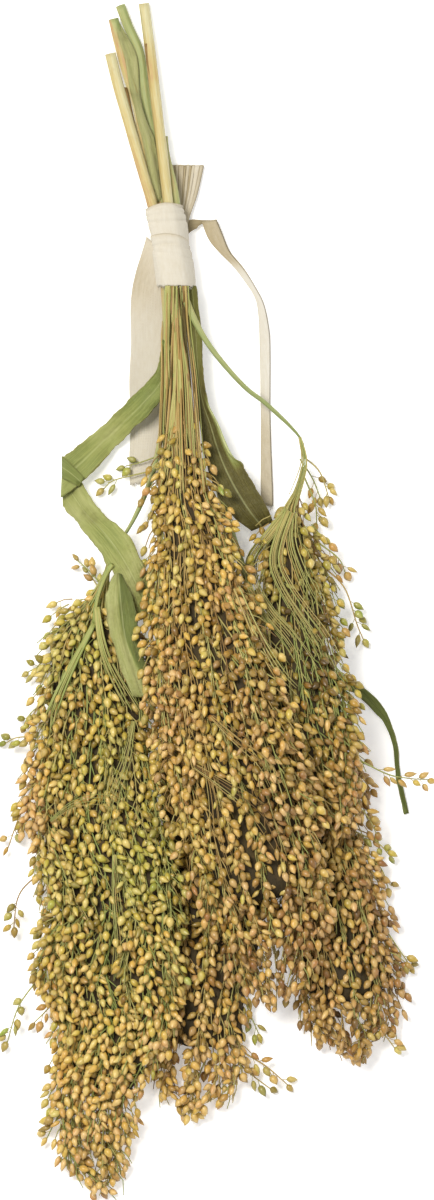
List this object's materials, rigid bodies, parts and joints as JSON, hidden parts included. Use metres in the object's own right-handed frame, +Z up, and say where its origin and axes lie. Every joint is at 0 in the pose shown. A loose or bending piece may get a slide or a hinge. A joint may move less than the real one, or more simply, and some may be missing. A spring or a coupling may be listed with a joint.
{
  "type": "millet seed head bunch",
  "caption": "Bunch of cut, dried millet seed heads on their stems, tied with a strip of cloth and laid down flat as a decoration.",
  "frame": {"origin": "on the surface that the bunch lies on, under the middle of its outline", "axes": "+Y towards the cut stem ends, +Z up from the surface, +X to the right with the stem ends at the top"},
  "size_m": [0.1627, 0.433, 0.0585],
  "materials": {
    "straw_stem": "satin",
    "green_stem": "satin",
    "gold_grain": "satin",
    "green_grain": "satin",
    "dark_grain": "satin",
    "green_leaf": "matte",
    "olive_leaf": "matte",
    "cotton_cloth": "matte"
  },
  "bodies": {
    "root": {"culm_back": "green_stem", "culm_lower": "straw_stem", "culm_right": "green_stem", "culm_left": "straw_stem", "culm_front": "straw_stem", "head_back": "dark_grain", "head_lower": "gold_grain", "head_right": "green_grain", "head_left": "green_grain", "head_front": "gold_grain", "leaf_folded": "green_leaf", "leaf_hanging": "green_leaf", "leaf_tip": "green_leaf", "leaf_broad": "olive_leaf", "leaf_sheath": "green_stem", "cloth_tie": "cotton_cloth"}
  },
  "joints": []
}
